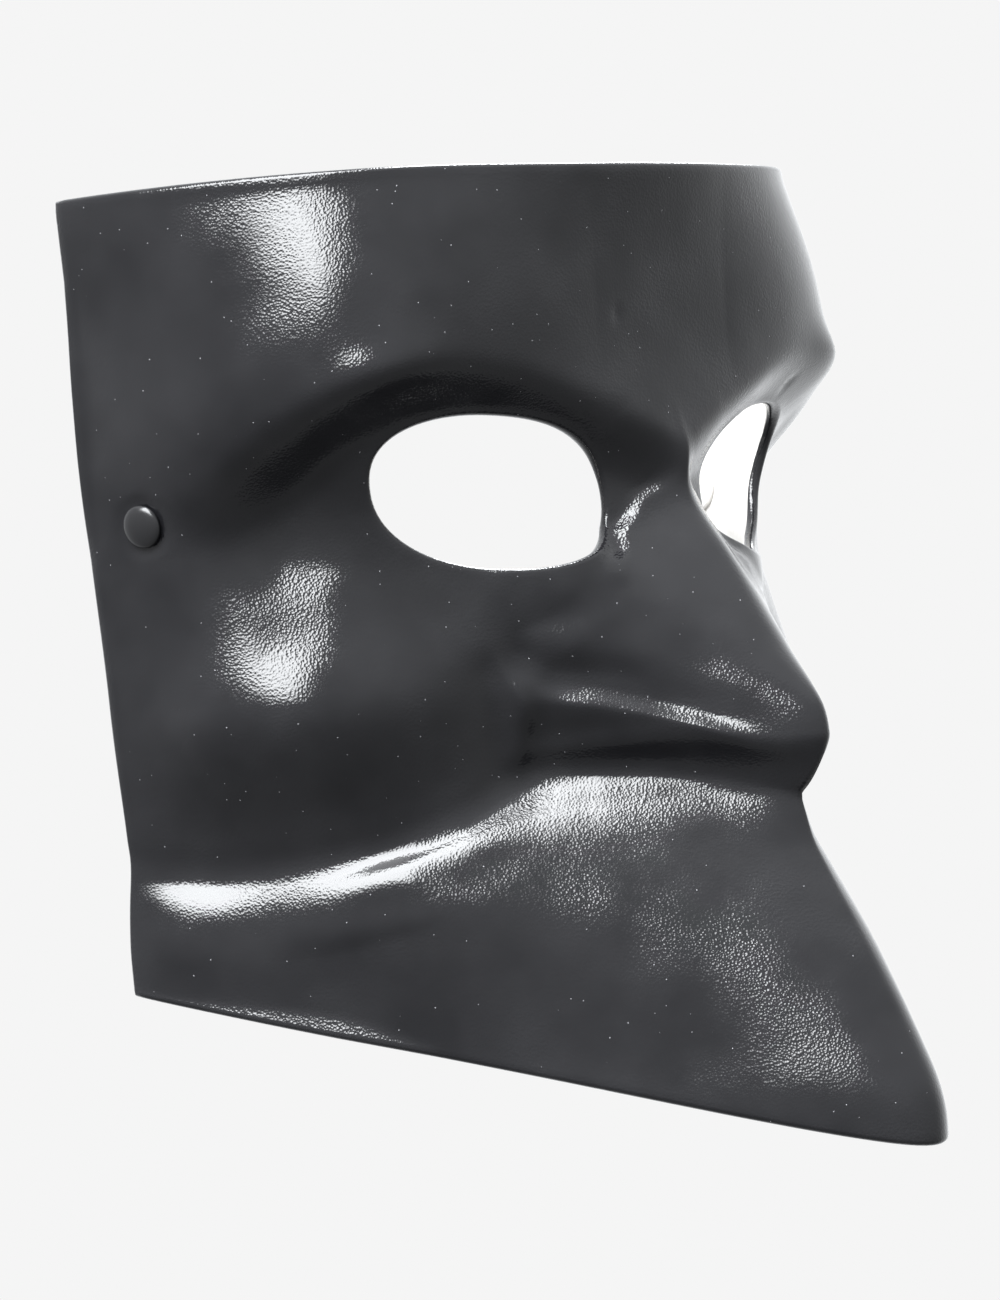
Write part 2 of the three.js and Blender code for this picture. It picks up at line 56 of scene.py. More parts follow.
# Sizes and stations down to the next note are the part's own. Millimetres and degrees; levels, and the
# offsets and heights along the face, are shares of HEIGHT, measured up from the eye line. Angles run
# round the face, 0 at the nose and 90 at the back edges. A program fitted the stations' values, and many
# of the single ones, to the outline and the shading in the photograph, and then they were rounded.

# The main sizes of the mask
HEIGHT = 194.0
WIDTH = 174.0
FACE_DEPTH = 77.0
NOSE_DEPTH = 111.0
JAW_DEPTH = 138.0
WALL = 2.4
RIM_SLOPE = 0.306

# The eye holes
EYE_SPACING = 74.5
EYE_WIDTH = 47.4
EYE_HEIGHT = 29.5
EYE_TILT = 6.2
EYE_SQUARENESS = 2.25

# The carving, each as the height of the form above the plain face
BROW_RISE = 5.63
BROW_ROLL = 2.67
SOCKET_DEPTH = 4.89
CHEEK_RISE = 6.27
NASAL_RISE = 5.5
WING_RISE = 3.0
WING_DENT = 2.3
CREASE_BEVEL = 5.5
CREASE_ROUND = 1.11
NOSE_FOOT_ROUND = 4.5

# The rivets that hold the two ends of a cord, and the seats pressed for them
RIVET_HEAD = 8.4
RIVET_DOME = 1.7
RIVET_EDGE = 0.35
RIVET_SHANK = 2.6
RIVET_FOOT = 7.4
RIVET_FOOT_THICKNESS = 1.0
RIVET_CLEARANCE = 0.3
SEAT_MARGIN = 0.7
SEAT_DEPTH = 0.45
RIVET_ANGLE = 80.1
RIVET_LEVEL = -0.028

EYE_LEVEL = -0.024
BACK_RIM_LEVEL = -0.495

# Section of the face and the jaw: [level, share of the half width or of the depth, or the power]
HALF_WIDTHS = [[-0.505, 0.966], [-0.443, 0.968], [-0.371, 0.961], [-0.206, 0.964], [0, 0.989],
               [0.18, 0.991], [0.289, 1.002]]
FACE_DEPTHS = [[-0.464, 1.019], [-0.371, 0.937], [-0.206, 0.953], [-0.041, 1.003], [0.093, 0.955],
               [0.19, 1], [0.289, 1.062]]
FACE_POWERS = [[-0.464, 2.87], [-0.206, 1.84], [-0.041, 1.87], [0.093, 2.67], [0.19, 2.59], [0.289, 2.11]]
JAW_DEPTHS = [[-0.727, 1.038], [-0.66, 1.043], [-0.608, 1.011], [-0.51, 0.907], [-0.407, 0.793],
              [-0.34, 0.753]]
JAW_POWERS = [[-0.727, 1.04], [-0.6, 1.04], [-0.505, 1.13], [-0.43, 1.24], [-0.371, 1.31]]

# The nose is a wedge: [level, share of NOSE_DEPTH], [level, slope of its sides], [level, angle of its edge],
# [level, degrees over which that edge is rounded down] and [level, roundness of the ridge]
NOSE_RIDGE = [[-0.371, 0.907], [-0.34, 1.01], [-0.299, 1.001], [-0.258, 0.987], [-0.196, 0.903],
              [-0.103, 0.801], [-0.041, 0.721], [0.052, 0.635]]
NOSE_SLOPE = [[-0.387, 1.16], [-0.285, 1.34], [-0.265, 1.42], [-0.25, 1.37], [-0.23, 1.25],
              [-0.21, 1.16], [-0.19, 1.05], [-0.17, 0.96], [-0.14, 0.9], [-0.1, 1.01], [-0.03, 1.08],
              [0.052, 1.5]]
NOSE_EDGE = [[-0.309, 33.8], [-0.247, 34.4], [-0.22, 32.5], [-0.2, 29.9], [-0.17, 25.6], [-0.15, 19.8],
             [-0.13, 16.7], [-0.11, 15.2], [-0.092, 12], [-0.071, 10.9], [-0.053, 8.3], [-0.038, 6.6],
             [-0.026, 3.4], [0.02, 0], [0.09, -4]]
NOSE_EDGE_WIDTHS = [[-0.25, 9.6], [-0.2, 11.3], [-0.17, 12.7], [-0.15, 10], [-0.13, 7.7], [-0.1, 3.4],
                    [-0.05, 3.1], [0, 5.1]]
NOSE_ROUNDS = [[-0.3, 0.021], [-0.25, 0.029], [-0.2, 0.063], [-0.15, 0.052], [-0.05, 0.036]]

# Lines drawn on the face: [angle, level]
TOP_EDGE = [[0, 0.297], [20, 0.298], [45, 0.303], [90, 0.306]]
BROW_LINE = [[0, 0.018], [6.5, 0.042], [19, 0.078], [31, 0.108], [42, 0.112], [52, 0.09], [62, 0.048],
             [72, 0.01], [90, 0.006]]
CHEEK_LINE = [[0, -0.087], [20, -0.045], [30, -0.032], [45, -0.093], [56, -0.076], [64, -0.069],
              [75, -0.061], [90, -0.098]]
WING_LINE = [[0, -0.307], [5, -0.301], [10, -0.274], [17, -0.25], [25, -0.237], [29, -0.221],
             [33, -0.235]]
UNDER_LINE = [[0, -0.288], [5, -0.283], [10, -0.264], [17, -0.246], [25, -0.231], [33, -0.23]]
CREASE_LINE = [[0, -0.3475], [8, -0.3277], [16, -0.3226], [24, -0.3208], [31, -0.3294], [40, -0.3582],
               [50, -0.3776], [63, -0.3914], [77, -0.3921], [90, -0.3792]]

# How the nostril wing rises along its line, and how gently the cheek comes up out of the socket:
# [angle, share]
WING_SHARES = [[0, 0], [6, 0.57], [12, 0.8], [17, 0.86], [22, 0.78], [27, 0.18], [33, 0.89]]
CHEEK_RUN_OUTS = [[0, 0.062], [22, 0.043], [38, 0.103], [90, 0.187]]

# Strength of the socket and of the crease round the face, and how soon the crease fades: [angle, share]
SOCKET_SHARES = [[0, -0.01], [7, 0.52], [18, 1], [45, 0.66], [62, 1.09], [75, -0.01], [90, -0.01]]
BEVEL_SHARES = [[0, -0.35], [8, 1.53], [18, 2.28], [28, 2.28], [40, 1.15], [60, 0.52], [80, 0.78],
                [90, 0.21]]
BEVEL_FADES = [[0, 0.09], [30, 0.058], [50, 0.011], [70, 0.033], [90, 0.026]]

# Where each form swells and fades
BACK_ANGLE = 90.0
FACE_FRONT_ROUND = 0.03
JAW_FRONT_ROUND = 0.07
CROWN_LEVEL = 0.064
CROWN_TURN = 45.0
CROWN_FALL = 0.0013
SWELL_UP = 0.125
SWELL_DOWN = 0.074
SWELL_BACK_RUN = 40.0
ROLL_OFFSET = -0.009
ROLL_HEIGHT = 0.031
ROLL_ANGLE = 45.0
ROLL_SPREAD = 7.5
SOCKET_START = 0.01
SOCKET_RUN_IN = 0.099
SOCKET_FLOOR_ROUND = 0.1
SOCKET_CHEEK_ROUND = 0.25
CHEEK_ANGLE = 61.7
CHEEK_SPREAD = 21.3
CHEEK_LEVEL = -0.206
CHEEK_HEIGHT = 0.115
CHEEK_BACK = 88.0
CHEEK_BACK_RUN = 18.0
NASAL_ANGLE = 16.8
NASAL_SPREAD = 11.9
NASAL_LEVEL = -0.137
NASAL_HEIGHT = 0.061
WING_END = 32.0
WING_END_RUN = 4.1
WING_ROUND = 0.021
DENT_OFFSET = 0.031
DENT_HEIGHT = 0.021
DENT_RUN_OUT = 0.062
DENT_ANGLE = 21.0
DENT_SPREAD = 12.1
RUN_IN = 0.173
RUN_IN_LEAD = 3.5
RUN_IN_TURN = 6.3
BEVEL_HOLD = 0.06
CREASE_SETTLE = 0.35
FACE_BLEND = 0.018
FACE_BLEND_RUN = 0.023
JAW_BLEND = 0.039
JAW_BLEND_RUN = 0.041

# Where the skin stands steeply, the wall along the radius is held to WALL / LEAST_SQUARENESS
LEAST_SQUARENESS = 0.62

# The steps over which a normal is measured, and how the lower rim and the eye's angle are searched for
NORMAL_STEP = 0.25
NORMAL_RISE = 0.002
RIM_SEARCH_STEPS = 30
EYE_SEARCH_STEPS = 10
EYE_SEARCH_START = 30.0

# The rest is finer than the part's solids and is in this file alone.

# The lower lip and the back edges flare outwards near the rim: [angle, width of the lip] and
# [level, width of the flare], in millimetres
LIP_SLOPE = 0.32
LIP_WIDTHS = [[36, -3], [44, 0], [52, 3], [60, 4.4], [68, 4], [78, 2.4], [90, 1.2]]
LIP_ROUND = 0.5
BACK_SLOPE = 0.4
BACK_WIDTHS = [[-0.3, -1], [-0.08, 0.5], [0.03, 2.6], [0.12, 3], [0.2, 1.6], [0.25, 0], [0.3, -1]]

# A shallow pad of the cheek below and behind the eye, steeper towards the back edge
PAD_RISE = 1.0
PAD_ANGLE = 61.0
PAD_LEVEL = -0.122
PAD_BEHIND = 10.0
PAD_AHEAD = 14.0
PAD_HALF_HEIGHT = 7.5

# Dents as angle, level, size in degrees and depth, and a degree's length on the skin
DENTS = [[-9.8, 0.145, 0.9, 0.35], [37.1, 0.074, 1.0, 0.4], [-61.0, -0.14, 5.5, 0.5]]
MM_PER_DEGREE = 1.45

# The unevenness of moulded paper, as height, size and seed of three layers of noise
UNEVENNESS = [[0.13, 26.0, 1], [0.06, 11.0, 2], [0.018, 4.5, 3]]

# How far the seat round a rivet runs out, the rivet's small roundings and how finely it is turned
SEAT_RUN = 1.8
RIVET_HEAD_CHAMFER = 0.15
RIVET_FOOT_CHAMFER = 0.3
RIVET_SIDES = 64
DOME_STEPS = 16
WELD_DISTANCE = 1e-6


def curve(stations, at):
    """A smooth curve through (place, value) stations, level beyond its ends."""
    x, v = np.array(stations, float).T
    slope = np.empty_like(v)
    slope[1:-1] = (v[2:] - v[:-2]) / (x[2:] - x[:-2])
    slope[0] = (v[1] - v[0]) / (x[1] - x[0])
    slope[-1] = (v[-1] - v[-2]) / (x[-1] - x[-2])
    at = np.clip(at, x[0], x[-1])
    i = np.clip(np.searchsorted(x, at, side="left") - 1, 0, len(x) - 2)
    h = x[i + 1] - x[i]
    t = (at - x[i]) / h
    return ((2 * t**3 - 3 * t**2 + 1) * v[i] + (t**3 - 2 * t**2 + t) * h * slope[i]
            + (3 * t**2 - 2 * t**3) * v[i + 1] + (t**3 - t**2) * h * slope[i + 1])


def ease(t):
    """0 below 0, 1 above 1, and an even S between."""
    t = np.clip(t, 0, 1)
    return t * t * (3 - 2 * t)


def hill(t):
    """A round hill of height 1."""
    return np.exp(-t * t)


def rounded_max(a, b, rounding):
    """The larger of two values, with the corner between them rounded."""
    return 0.5 * (a + b + np.hypot(a - b, rounding))


def section(angle, half_width, depth, power, nose_round):
    """Distance from the middle axis to a rounded-box section of the shell."""
    side = np.hypot(np.sin(np.radians(angle)), nose_round) / half_width
    front = np.abs(np.cos(np.radians(angle))) / depth
    return (side**power + front**power) ** (-1 / power)


def brow_and_cheek(angle, level):
    """Brow, socket and cheek: what rises above or sinks below the plain face."""
    brow = curve(BROW_LINE, angle)
    crown = np.maximum(brow, CROWN_LEVEL - CROWN_FALL * np.maximum(angle - CROWN_TURN, 0))
    swell = np.where(level > crown, hill((level - crown) / SWELL_UP), 1 - ease((brow - level) / SWELL_DOWN))
    roll = hill((level - brow - ROLL_OFFSET) / ROLL_HEIGHT) * hill((angle - ROLL_ANGLE) / ROLL_SPREAD)
    under = ease((brow + SOCKET_START - level) / SOCKET_RUN_IN)
    down = rounded_max((curve(CHEEK_LINE, angle) - level) / curve(CHEEK_RUN_OUTS, angle),
                       0, SOCKET_FLOOR_ROUND)
    on_cheek = down + 1 - rounded_max(down, 1, SOCKET_CHEEK_ROUND)
    cheek = (hill((angle - CHEEK_ANGLE) / CHEEK_SPREAD) * hill((level - CHEEK_LEVEL) / CHEEK_HEIGHT)
             * ease((CHEEK_BACK - angle) / CHEEK_BACK_RUN))
    nasal = hill((angle - NASAL_ANGLE) / NASAL_SPREAD) * hill((level - NASAL_LEVEL) / NASAL_HEIGHT)
    return (BROW_RISE * swell * ease((BACK_ANGLE - angle) / SWELL_BACK_RUN) + BROW_ROLL * roll
            - SOCKET_DEPTH * curve(SOCKET_SHARES, angle) * under * (1 - on_cheek) + CHEEK_RISE * cheek
            + NASAL_RISE * nasal)


def nose_lift(angle, level, radius):
    """The flat sides of the nose, meeting in a rounded ridge."""
    ridge_round = curve(NOSE_ROUNDS, level)
    aside = np.hypot(np.sin(np.radians(angle)), ridge_round) - ridge_round
    ridge = NOSE_DEPTH * curve(NOSE_RIDGE, level)
    slab = ridge / (np.cos(np.radians(angle)) + curve(NOSE_SLOPE, level) * aside)
    shoulder = ease((curve(NOSE_EDGE, level) - angle) / curve(NOSE_EDGE_WIDTHS, level) + 0.5)
    return (rounded_max(slab, radius, NOSE_FOOT_ROUND) - radius) * shoulder


def wing(angle, level):
    """The roll of the nostril wing, with the dent above it."""
    above = level - curve(WING_LINE, angle)
    rise = WING_RISE * curve(WING_SHARES, angle) * ease((WING_END - angle) / WING_END_RUN)
    off_dent = above - DENT_OFFSET
    dent = (hill(off_dent / np.where(off_dent > 0, DENT_HEIGHT, DENT_RUN_OUT))
            * hill((angle - DENT_ANGLE) / DENT_SPREAD))
    return rise * (1 - ease(above / WING_ROUND)) - WING_DENT * dent


def face_radius(angle, level):
    """The face: the plain section with brow, cheek, nose and nostril wing on it."""
    plain = section(angle, WIDTH / 2 * curve(HALF_WIDTHS, level), FACE_DEPTH * curve(FACE_DEPTHS, level),
                    curve(FACE_POWERS, level), FACE_FRONT_ROUND) + brow_and_cheek(angle, level)
    return plain + nose_lift(angle, level, plain) + wing(angle, level)


def jaw_radius(angle, level):
    """The jutting jaw below the crease."""
    return section(angle, WIDTH / 2 * curve(HALF_WIDTHS, level), JAW_DEPTH * curve(JAW_DEPTHS, level),
                   curve(JAW_POWERS, level), JAW_FRONT_ROUND)


def run_in_level(angle):
    """The line above the crease from which the face runs down into it."""
    side = ease((angle - WING_END + RUN_IN_LEAD) / RUN_IN_TURN)
    return curve(UNDER_LINE, angle) * (1 - side) + (curve(CREASE_LINE, angle) + RUN_IN) * side


def skin_radius(signed_angle, level):
    """Radius of the outer skin: the face above the crease, the jaw below it."""
    angle = np.abs(signed_angle)
    crease = curve(CREASE_LINE, angle)
    bevel = CREASE_BEVEL * curve(BEVEL_SHARES, angle)
    below = crease - level
    bevel_here = bevel * np.exp(-np.maximum(below, -BEVEL_HOLD) / curve(BEVEL_FADES, angle))
    lower = jaw_radius(angle, level) - bevel_here
    start = run_in_level(angle)
    valley = jaw_radius(angle, crease) - bevel
    run_in = ease((start - level) / (start - crease))
    upper = face_radius(angle, level) + (valley - face_radius(angle, crease)) * run_in
    joined = rounded_max(upper, lower, CREASE_ROUND) - CREASE_SETTLE * CREASE_ROUND
    on_face = ease((-below - FACE_BLEND) / FACE_BLEND_RUN)
    on_jaw = ease((below - JAW_BLEND) / JAW_BLEND_RUN)
    near = joined * (1 - on_face) + upper * on_face
    return near * (1 - on_jaw) + lower * on_jaw


def place(angle, level, radius):
    """Points at angles, levels and radii, in millimetres, with Y counted from the eye line."""
    turn = np.radians(angle)
    return np.stack([radius * np.sin(turn), level * HEIGHT + np.zeros_like(turn), radius * np.cos(turn)], -1)


def skin_point(angle, level):
    """Points of the outer skin."""
    return place(angle, level, skin_radius(angle, level))


def skin_normal(angle, level):
    """The outward normal of the skin, from the two tangents at a place."""
    across = skin_point(angle + NORMAL_STEP, level) - skin_point(angle - NORMAL_STEP, level)
    up = skin_point(angle, level + NORMAL_RISE) - skin_point(angle, level - NORMAL_RISE)
    normal = np.cross(across, up)
    return normal / np.linalg.norm(normal, axis=-1, keepdims=True)


def lower_rim_level(angle):
    """The lower rim is one slanting plane, so its level is found by stepping towards it."""
    level = np.full_like(angle, BACK_RIM_LEVEL)
    for _ in range(RIM_SEARCH_STEPS):
        front = skin_radius(angle, level) * np.cos(np.radians(angle))
        level = BACK_RIM_LEVEL - RIM_SLOPE * front / HEIGHT
    return level


def eye_angle():
    """The angle at which the eye holes' middles lie EYE_SPACING apart."""
    angle = EYE_SEARCH_START
    for _ in range(EYE_SEARCH_STEPS):
        angle = math.degrees(math.asin(EYE_SPACING / 2 / skin_radius(angle, EYE_LEVEL)))
    return angle


EYE_ANGLE = eye_angle()
EYE_HALF_ANGLE = math.degrees(EYE_WIDTH / 2 / skin_radius(EYE_ANGLE, EYE_LEVEL))
EYE_HALF_LEVEL = EYE_HEIGHT / 2 / HEIGHT

# Where the eye line lies in the shared frame: the top edge's highest point is the top of the CAD box
EYE_LINE_Y = cad_high[1] / MM - max(v for _, v in TOP_EDGE) * HEIGHT

# The rims are rounded, so the skins stop short of each edge by this and a round strip reaches it
RIM_ROUND = 0.9
RIM_STEPS = 6

# Large odd numbers that scramble a cell's place and the seed into one of VALUES values, and how many
# cells apart two seeds start
SCRAMBLE = (374761393, 668265263, 2147483647)
SCRAMBLE_SEED = 974634777
SCRAMBLE_AGAIN = 1274126177
VALUES = 65536
SEED_SPACING = 100.0


def noise(points, size, seed):
    """Smooth value noise between -1 and 1, with features about size millimetres wide."""
    p = points / size + SEED_SPACING * seed
    cell = np.floor(p).astype(np.int64)
    f = p - cell
    f = f * f * f * (f * (6 * f - 15) + 10)
    total = np.zeros(p.shape[:-1])
    for corner in range(8):
        offset = np.array([corner & 1, corner >> 1 & 1, corner >> 2 & 1])
        mixed = ((cell + offset) * SCRAMBLE).sum(-1) + seed * SCRAMBLE_SEED
        mixed = (mixed ^ (mixed >> 13)) * SCRAMBLE_AGAIN & 0x7FFFFFFF
        value = (mixed ^ (mixed >> 16)) % VALUES / (VALUES - 1) * 2 - 1
        weight = np.prod(np.where(offset == 1, f, 1 - f), axis=-1)
        total += weight * value
    return total


# The grid: columns over half the face, and rows from the lower rim to the top edge. Each eye has a
# block of the grid, which is drawn out to the oval up to DRAW_REACH half blocks away.
COLUMNS = (26, 40, 40)
ROWS = (46, 22, 30, 30, 40)
EYE_BLOCK_SHARE = 0.86
DRAW_REACH = 1.8


def steps(a, b, count):
    """Evenly spaced places from a to b, without b."""
    a, b = np.asarray(a)[..., None], np.asarray(b)[..., None]
    return a + (b - a) * (np.arange(count) / count)


def column_angles(block_angle, last):
    """Angles of the columns, closer over the eyes, the same on both sides."""
    half = np.concatenate([
        steps(0.0, EYE_ANGLE - block_angle, COLUMNS[0]),
        steps(EYE_ANGLE - block_angle, EYE_ANGLE + block_angle, COLUMNS[1]),
        steps(EYE_ANGLE + block_angle, last, COLUMNS[2]),
        [last],
    ])
    return np.concatenate([-half[:0:-1], half])


def row_levels(angles, block_level):
    """Levels of the rows in each column, which follow the rims and the crease."""
    angle = np.abs(angles)
    eye_low = np.full_like(angle, EYE_LEVEL - block_level)
    eye_high = np.full_like(angle, EYE_LEVEL + block_level)
    top = curve(TOP_EDGE, angle) - RIM_ROUND / HEIGHT
    bottom = lower_rim_level(angle) + RIM_ROUND / HEIGHT
    stops = [bottom, curve(CREASE_LINE, angle), run_in_level(angle), eye_low, eye_high, top]
    parts = [steps(a, b, n) for a, b, n in zip(stops, stops[1:], ROWS)]
    return np.concatenate([*parts, top[:, None]], axis=1)


def draw_to_eye(angle, level, block_angle, block_level):
    """Draws the grid near an eye out to the oval. The pull fades away before the next form."""
    side = np.where(angle < 0, -1.0, 1.0)
    across = (np.abs(angle) - EYE_ANGLE) / block_angle
    up = (level - EYE_LEVEL) / block_level
    ring = np.maximum(np.abs(across), np.abs(up))
    room = np.where(across < 0, EYE_ANGLE, BACK_ANGLE - EYE_ANGLE) / block_angle
    fade_end = np.where(np.abs(across) >= np.abs(up), np.minimum(DRAW_REACH, room), DRAW_REACH)
    fade = ease((ring - 1) / (fade_end - 1))
    direction = np.arctan2(up, across)
    sideways, upwards = np.cos(direction), np.sin(direction)
    reach = (np.abs(sideways) ** EYE_SQUARENESS + np.abs(upwards) ** EYE_SQUARENESS) ** (-1 / EYE_SQUARENESS)
    grow = 1 + RIM_ROUND / (EYE_HEIGHT / 2)
    along = reach * sideways * EYE_HALF_ANGLE * grow
    lean = along / EYE_HALF_ANGLE * math.tan(math.radians(EYE_TILT)) * (EYE_WIDTH / 2) / HEIGHT
    height = reach * upwards * EYE_HALF_LEVEL * grow + lean
    drawn_angle = EYE_ANGLE + (1 - fade) * along * ring + fade * across * block_angle
    drawn_level = EYE_LEVEL + (1 - fade) * height * ring + fade * up * block_level
    inside = ring < fade_end
    return np.where(inside, side * drawn_angle, angle), np.where(inside, drawn_level, level)


def hand_made(points, normals, angle, level):
    """Moves points along their normals by what hands did: worked edges, the cheek's pad, dents and waves."""
    uneven = sum(height * noise(points, size, seed) for height, size, seed in UNEVENNESS)
    around = np.abs(angle)
    above_rim = (level - lower_rim_level(around)) * HEIGHT
    lip = LIP_SLOPE * rounded_max(curve(LIP_WIDTHS, around) - above_rim, 0, LIP_ROUND)
    back = BACK_SLOPE * np.maximum(curve(BACK_WIDTHS, level) - np.abs(points[..., 2]), 0)
    reach = np.where(around > PAD_ANGLE, PAD_BEHIND, PAD_AHEAD)
    pad = PAD_RISE * hill(np.hypot((around - PAD_ANGLE) * MM_PER_DEGREE / reach,
                                   (level - PAD_LEVEL) * HEIGHT / PAD_HALF_HEIGHT))
    dents = sum(-depth * hill(np.hypot(angle - at, (level - high) * HEIGHT / MM_PER_DEGREE) / size)
                for at, high, size, depth in DENTS)
    return points + normals * (uneven + lip + back + pad + dents)[..., None]


def pressed(points, normals, reach, depth):
    """Sinks a shallow seat round each rivet, running out softly."""
    for side in (-1, 1):
        centre = skin_point(np.float64(side * RIVET_ANGLE), np.float64(RIVET_LEVEL))
        away = np.linalg.norm(points - centre, axis=-1)
        points = points - normals * (depth * ease((reach + SEAT_RUN - away) / SEAT_RUN))[..., None]
    return points


def two_skins():
    """The grids of the painted outer skin and of the paper one wall behind it."""
    block_angle = EYE_HALF_ANGLE * EYE_BLOCK_SHARE
    block_level = EYE_HALF_LEVEL * EYE_BLOCK_SHARE
    last = BACK_ANGLE - math.degrees(RIM_ROUND / (WIDTH / 2))
    angles = column_angles(block_angle, last)
    levels = row_levels(angles, block_level)
    plain_angle = np.repeat(angles[:, None], levels.shape[1], 1)
    angle, level = draw_to_eye(plain_angle, levels, block_angle, block_level)
    radius = skin_radius(angle, level)
    outer = place(angle, level, radius)
    normals = skin_normal(angle, level)
    turn = np.radians(angle)
    outward = np.stack([np.sin(turn), np.zeros_like(turn), np.cos(turn)], -1)
    squareness = (normals * outward).sum(-1)
    inner = place(angle, level, radius - WALL / np.maximum(squareness, LEAST_SQUARENESS))
    outer = hand_made(outer, normals, angle, level)
    outer = pressed(outer, normals, RIVET_HEAD / 2 + SEAT_MARGIN, SEAT_DEPTH)
    inner = pressed(inner, normals, RIVET_FOOT / 2 + SEAT_MARGIN + SEAT_RUN, -SEAT_DEPTH)
    return outer, inner


def outside_the_eyes(columns, rows):
    """Which cells of the grid are wall, and not one of the two eye holes."""
    middle = (columns - 1) // 2
    i = np.arange(columns - 1)
    from_middle = np.where(i >= middle, i - middle, middle - 1 - i)
    over_eye = (from_middle >= COLUMNS[0]) & (from_middle < COLUMNS[0] + COLUMNS[1])
    j = np.arange(rows - 1)
    low = sum(ROWS[:3])
    at_eye = (j >= low) & (j < low + ROWS[3])
    return ~(over_eye[:, None] & at_eye[None, :])


# The four sides of a grid cell: the step across the side to the next cell, and the side's two corners
CELL_SIDES = {(0, -1): ((0, 0), (1, 0)), (1, 0): ((1, 0), (1, 1)),
              (0, 1): ((1, 1), (0, 1)), (-1, 0): ((0, 1), (0, 0))}


def free_edges(index, solid):
    """The edges of the grid and of its holes, each walked with the wall on its left."""
    padded = np.pad(solid, 1)
    edges = []
    here = padded[1:-1, 1:-1]
    for (di, dj), (p, q) in CELL_SIDES.items():
        beyond = padded[1 + di:padded.shape[0] - 1 + di, 1 + dj:padded.shape[1] - 1 + dj]
        ii, jj = np.nonzero(here & ~beyond)
        edges.append(np.stack([index[ii + p[0], jj + p[1]], index[ii + q[0], jj + q[1]]], 1))
    return np.concatenate(edges)


def rim_strip(outer, inner, edges):
    """Points of the round strip that joins the two skins along their free edges, and its rows of faces."""
    count = len(outer)
    rim = np.unique(edges)
    away = np.zeros((count, 3))
    along = outer[edges[:, 1]] - outer[edges[:, 0]]
    through = outer - inner
    for k in (0, 1):
        np.add.at(away, edges[:, k], np.cross(along, through[edges[:, k]]))
    away = away[rim] / np.linalg.norm(away[rim], axis=1, keepdims=True)
    ring_of = np.full(count, -1)
    ring_of[rim] = np.arange(len(rim))
    points = []
    rings = [rim]
    for k in range(1, RIM_STEPS):
        swing = math.pi * k / RIM_STEPS
        share = (1 - math.cos(swing)) / 2
        between = outer[rim] * (1 - share) + inner[rim] * share
        points.append(between + away * RIM_ROUND * math.sin(swing))
        rings.append(np.arange(len(rim)) + 2 * count + (k - 1) * len(rim))
    rings.append(rim + count)
    start, end = ring_of[edges[:, 0]], ring_of[edges[:, 1]]
    strips = [np.stack([p[end], p[start], q[start], q[end]], 1) for p, q in zip(rings, rings[1:])]
    return points, strips


def shell_mesh():
    """The whole shell as one closed mesh, with its painted faces and its bare paper faces apart."""
    outer, inner = two_skins()
    columns, rows, _ = outer.shape
    outer = outer.reshape(-1, 3)
    inner = inner.reshape(-1, 3)
    solid = outside_the_eyes(columns, rows)
    index = np.arange(columns * rows).reshape(columns, rows)
    a, b, c, d = index[:-1, :-1][solid], index[1:, :-1][solid], index[1:, 1:][solid], index[:-1, 1:][solid]
    rim_points, strips = rim_strip(outer, inner, free_edges(index, solid))
    painted = np.concatenate([np.stack([a, b, c, d], 1), *strips[:-1]])
    bare = np.concatenate([np.stack([a, d, c, b], 1) + len(outer), strips[-1]])
    points = np.concatenate([outer, inner, *rim_points]) + [0, EYE_LINE_Y, 0]
    return points * MM, painted, bare


def make_mesh(name, points, quads, material_indices, materials):
    """A smooth mesh object of four-sided faces, without the points that no face uses."""
    used = np.zeros(len(points), bool)
    used[quads] = True
    renumber = np.cumsum(used) - 1
    mesh = bpy.data.meshes.new(name)
    points, quads = points[used], renumber[quads]
    mesh.vertices.add(len(points))
    mesh.vertices.foreach_set("co", points.ravel())
    mesh.loops.add(quads.size)
    mesh.loops.foreach_set("vertex_index", quads.ravel().astype(np.int32))
    mesh.polygons.add(len(quads))
    mesh.polygons.foreach_set("loop_start", np.arange(0, quads.size, 4, dtype=np.int32))
    mesh.polygons.foreach_set("material_index", np.asarray(material_indices, np.int32))
    for material in materials:
        mesh.materials.append(material)
    mesh.update(calc_edges=True)
    mesh.validate()
    mesh.shade_smooth()
    obj = bpy.data.objects.new(name, mesh)
    bpy.context.scene.collection.objects.link(obj)
    return obj


# Materials. Sizes are in millimetres.
GRAIN_SOFTNESS = 0.35
GRAIN_NOISE_SHARE = 0.3
WARP_SIZE = 2.2
WARP_DETAIL = 4.0
PATCH_SIZE = 16.0
PATCH_DETAIL = 2.0
PATCH_RANGE = (0.35, 0.65)
LEAST_GRAIN = 0.45
PAINT_DARK = (0.006, 0.006, 0.0072, 1)
PAINT_LIGHT = (0.012, 0.012, 0.0135, 1)
PAINT_RANGE = (0.3, 0.7)
PAINT_ROUGHNESS = (0.08, 0.13)
# The pale specks on the black paint are painted glints, standing in for the highlights of tiny bumps
SPECK_SPACING = 2.8
SPECK_SIZE = 0.15
SPECK_CORE = 0.6
GLINT_COLOUR = (0.24, 0.24, 0.25, 1)
PAPER_DARK = (0.53, 0.52, 0.505, 1)
PAPER_LIGHT = (0.6, 0.59, 0.57, 1)
PAPER_ROUGHNESS = 0.85
RIVET_COLOUR = (0.012, 0.012, 0.013, 1)
RIVET_ROUGHNESS = 0.22


def node_material(name):
    """A new material, with its nodes and links."""
    material = bpy.data.materials.new(name)
    material.use_nodes = True
    return material, material.node_tree.nodes, material.node_tree.links


